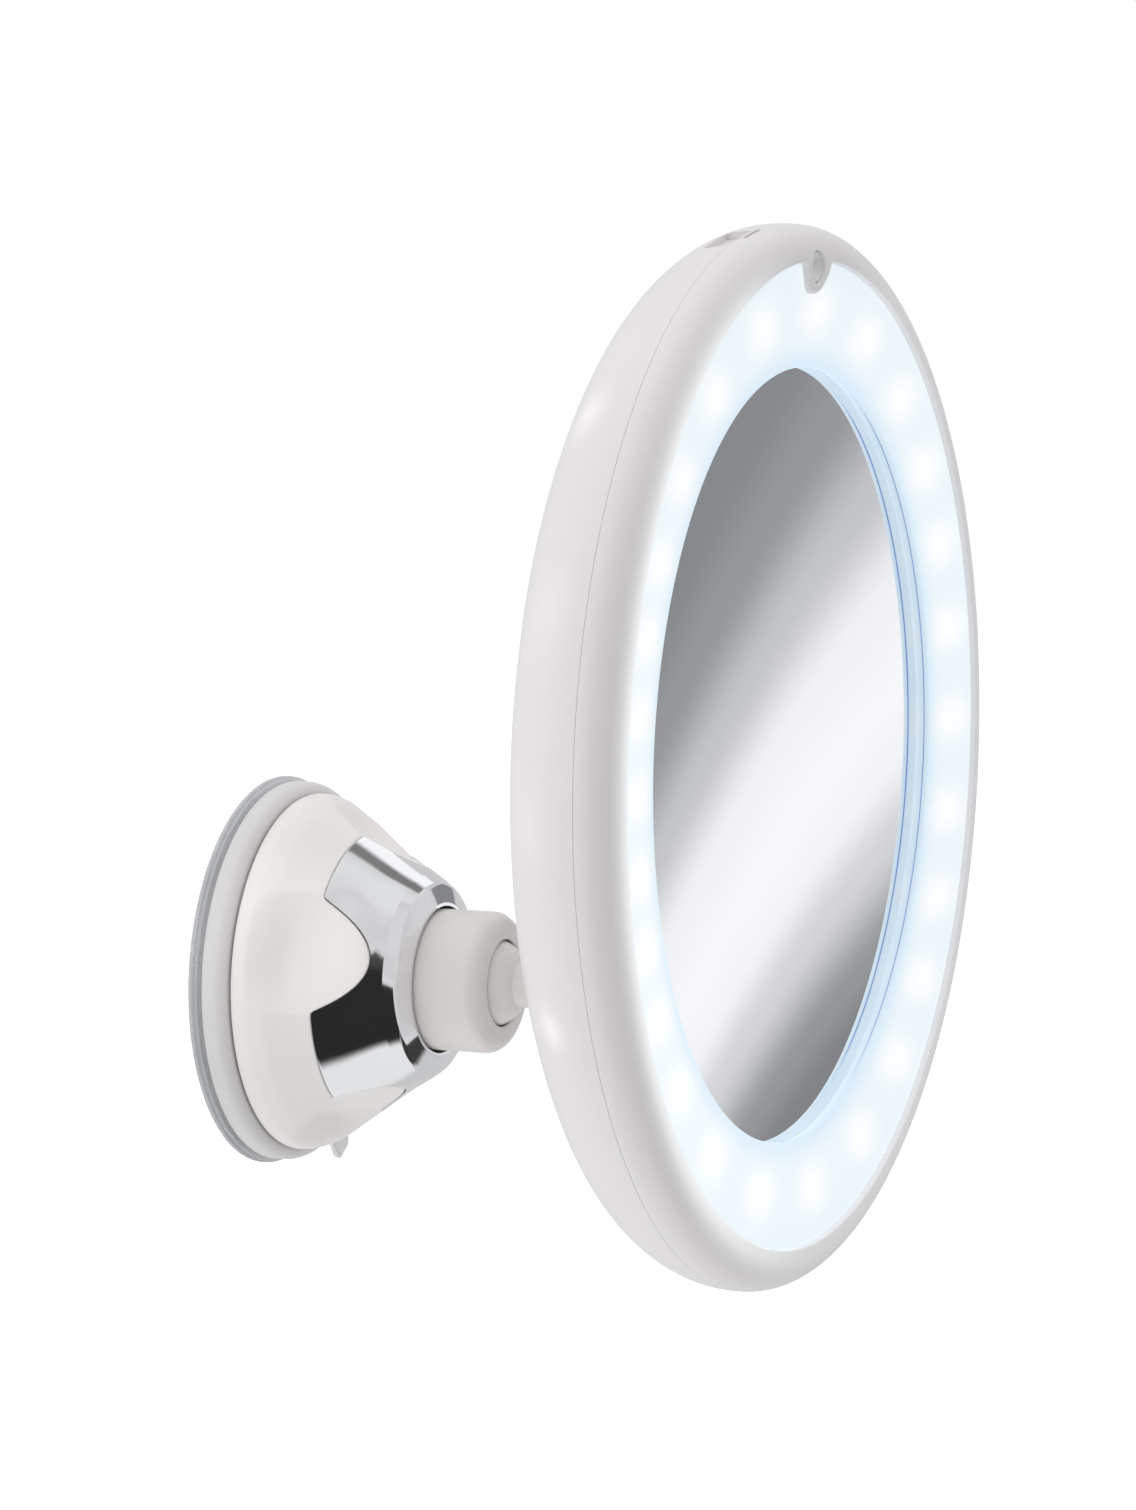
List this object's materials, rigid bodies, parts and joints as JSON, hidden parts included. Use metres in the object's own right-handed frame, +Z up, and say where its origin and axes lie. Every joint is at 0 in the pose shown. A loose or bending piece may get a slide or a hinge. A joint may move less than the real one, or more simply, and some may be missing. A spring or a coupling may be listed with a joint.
{
  "type": "wall mirror",
  "caption": "Round lit magnifying mirror on a ball joint, with a twist-lock suction mount for tiles or glass.",
  "frame": {"origin": "centre of the suction face, on the wall", "axes": "+Y into the wall along the mount's axis, +Z up, the mirror faces -Y"},
  "size_m": [0.2, 0.1134, 0.2],
  "materials": {
    "clear_rubber": "satin, slightly see-through",
    "white_plastic": "satin gloss",
    "inner_plastic": "matt",
    "chrome": "polished",
    "steel": "brushed",
    "seal_rubber": "matt",
    "cell_wrap": "gloss",
    "mirror_glass": "polished",
    "milky_diffuser": "lit from behind",
    "board": "solder mask",
    "diode": "clear",
    "black_plastic": "matt",
    "button_plastic": "gloss",
    "wire": "satin"
  },
  "bodies": {
    "mount": {"suction_cup": "clear_rubber", "base_ring": "white_plastic", "socket_post": "inner_plastic", "post_screws": "steel", "thrust_washer": "inner_plastic"},
    "knob": {"twist_knob": "white_plastic", "chrome_crown": "chrome", "cam_ring": "inner_plastic", "cam_ramps": "inner_plastic"},
    "stud": {"suction_stud": "inner_plastic", "cross_pin": "steel"},
    "collar": {"collar_nut": "white_plastic"},
    "front_liner": {"clamp_ring": "inner_plastic"},
    "rear_liner": {"ball_seat": "inner_plastic"},
    "head": {"ball_stem": "white_plastic", "stem_screws": "steel", "rear_shell": "white_plastic", "front_bezel": "white_plastic", "case_seal": "seal_rubber", "batteries": "cell_wrap", "contact_springs": "steel", "contact_plates": "steel", "mirror_glass": "mirror_glass", "mirror_carrier": "inner_plastic", "diffuser_ring": "milky_diffuser", "led_board": "board", "leds": "diode", "switch_board": "board", "push_switch": "black_plastic", "lead_wires": "wire"},
    "battery_door": {"battery_cover": "white_plastic", "cover_screw": "steel"},
    "button": {"power_button": "button_plastic"}
  },
  "joints": [
    {"name": "knob_twist", "type": "hinge", "parent": "mount", "child": "knob", "pos_m": [0, -0.015, 0], "axis": [0, 1, 0], "range_deg": [0, 90]},
    {"name": "stud_pull", "type": "slide", "parent": "mount", "child": "stud", "axis": [0, -1, 0], "range_m": [0, 0.0025]},
    {"name": "collar_turn", "type": "hinge", "parent": "mount", "child": "collar", "pos_m": [0, -0.04, 0], "axis": [0, -1, 0], "range_deg": [0, 45]},
    {"name": "head_spin", "type": "hinge", "parent": "mount", "child": "front_liner", "pos_m": [0, -0.0448, 0], "axis": [0, 1, 0], "continuous": true},
    {"name": "head_swivel", "type": "hinge", "parent": "front_liner", "child": "rear_liner", "pos_m": [0, -0.0448, 0], "axis": [0, 0, 1], "range_deg": [-20, 20]},
    {"name": "head_tilt", "type": "hinge", "parent": "rear_liner", "child": "head", "pos_m": [0, -0.0448, 0], "axis": [1, 0, 0], "range_deg": [-20, 20]},
    {"name": "button_push", "type": "slide", "parent": "head", "child": "button", "axis": [0, 1, 0], "range_m": [0, 0.0012], "stiffness_N_per_m": 1200, "springref_m": -0.0004},
    {"name": "cover_lift", "type": "slide", "parent": "head", "child": "battery_door", "axis": [0, 1, 0], "range_m": [0, 0.02]}
  ],
  "couplings": [
    {"joint": "stud_pull", "follows": "knob_twist", "m_per_rad": 0.0015915}
  ]
}
